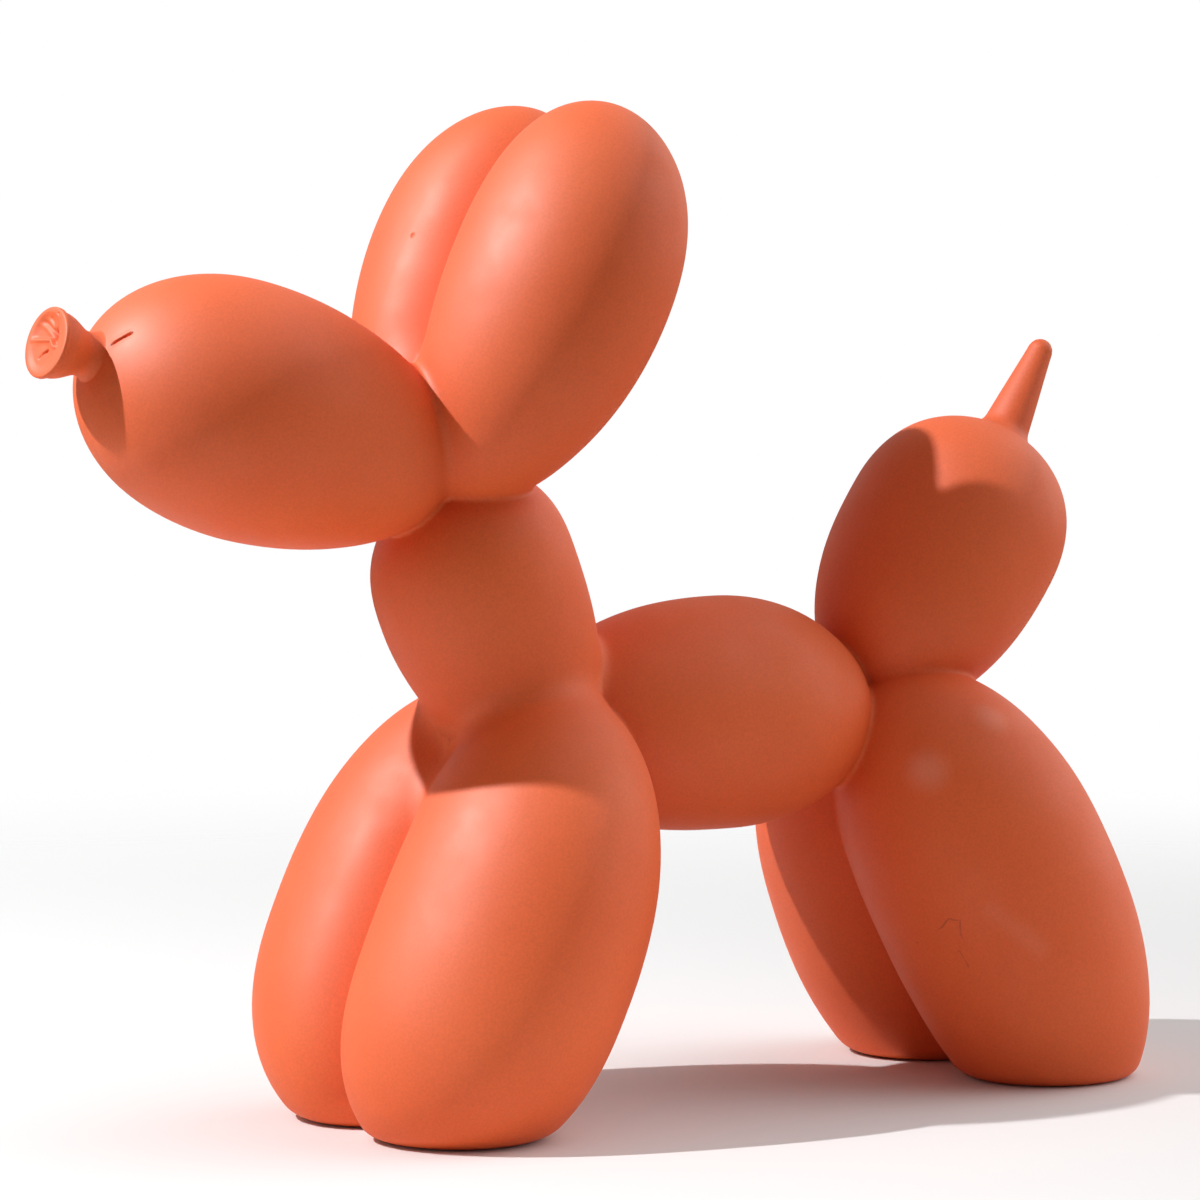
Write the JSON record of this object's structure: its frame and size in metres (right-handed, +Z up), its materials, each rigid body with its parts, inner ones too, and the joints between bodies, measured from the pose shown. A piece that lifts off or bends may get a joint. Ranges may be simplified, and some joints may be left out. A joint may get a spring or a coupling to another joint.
{
  "type": "balloon dog sculpture",
  "caption": "Standing balloon dog ornament in matt coral resin: a chain of pinched bubbles with a flared nozzle snout, upright ears, flat feet and a pointed tail.",
  "frame": {"origin": "on the ground under the middle of the dog's outline, in its plane of symmetry", "axes": "+Z up; the dog looks along -X, so +X runs from nose to tail; -Y is the dog's left side, the one nearer the viewer in the picture"},
  "size_m": [0.2044, 0.0752, 0.1672],
  "materials": {
    "matt_resin": "matt coral cast resin, faint satin sheen"
  },
  "bodies": {
    "root": {"balloon_dog": "matt_resin"}
  },
  "joints": []
}
